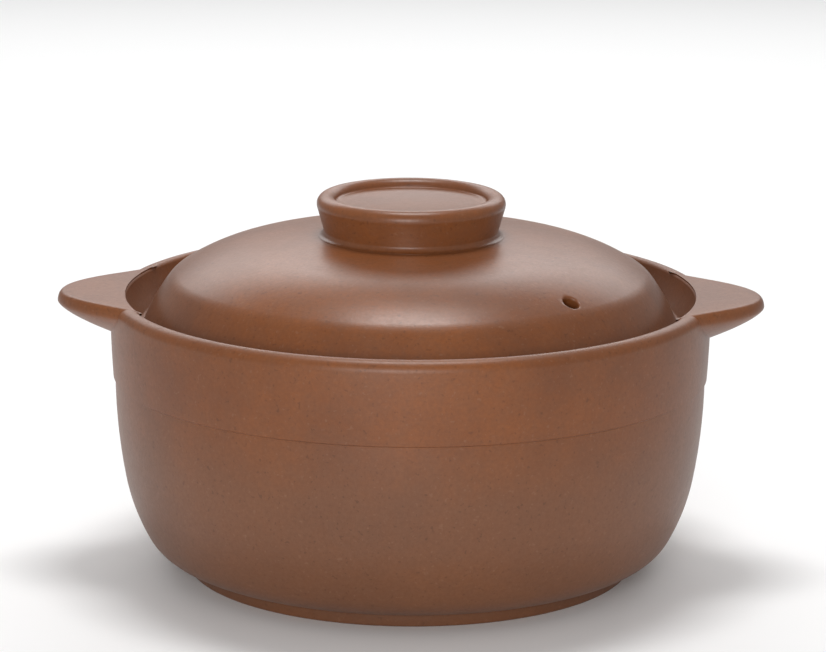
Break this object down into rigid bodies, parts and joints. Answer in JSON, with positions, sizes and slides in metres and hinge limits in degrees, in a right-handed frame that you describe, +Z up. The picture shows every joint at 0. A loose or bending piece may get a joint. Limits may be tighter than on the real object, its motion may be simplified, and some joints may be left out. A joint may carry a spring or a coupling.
{
  "type": "lidded clay cooking pot",
  "caption": "Round unglazed clay stovetop pot with two flat ears, a sunken seat for a domed lid, and a ring-shaped knob and steam hole on the lid.",
  "frame": {"origin": "middle of the underside of the foot, on the surface that the pot stands on", "axes": "+Z up through the knob, +X through the right ear, +Y to the back"},
  "size_m": [0.2825, 0.24, 0.1514],
  "materials": {
    "clay": "unglazed satin brown stoneware",
    "clay_ear": "unglazed satin brown stoneware",
    "clay_lid": "unglazed satin brown stoneware",
    "clay_knob": "unglazed satin brown stoneware",
    "inner_glaze": "glossy dark brown glaze"
  },
  "bodies": {
    "pot": {"pot_body": "clay", "left_ear": "clay_ear", "right_ear": "clay_ear", "pot_glaze": "inner_glaze"},
    "lid": {"lid_dome": "clay_lid", "lid_knob": "clay_knob", "lid_glaze": "inner_glaze"}
  },
  "joints": [
    {"name": "lid_lift", "type": "slide", "parent": "pot", "child": "lid", "axis": [0, 0, 1], "range_m": [0, 0.12]}
  ]
}
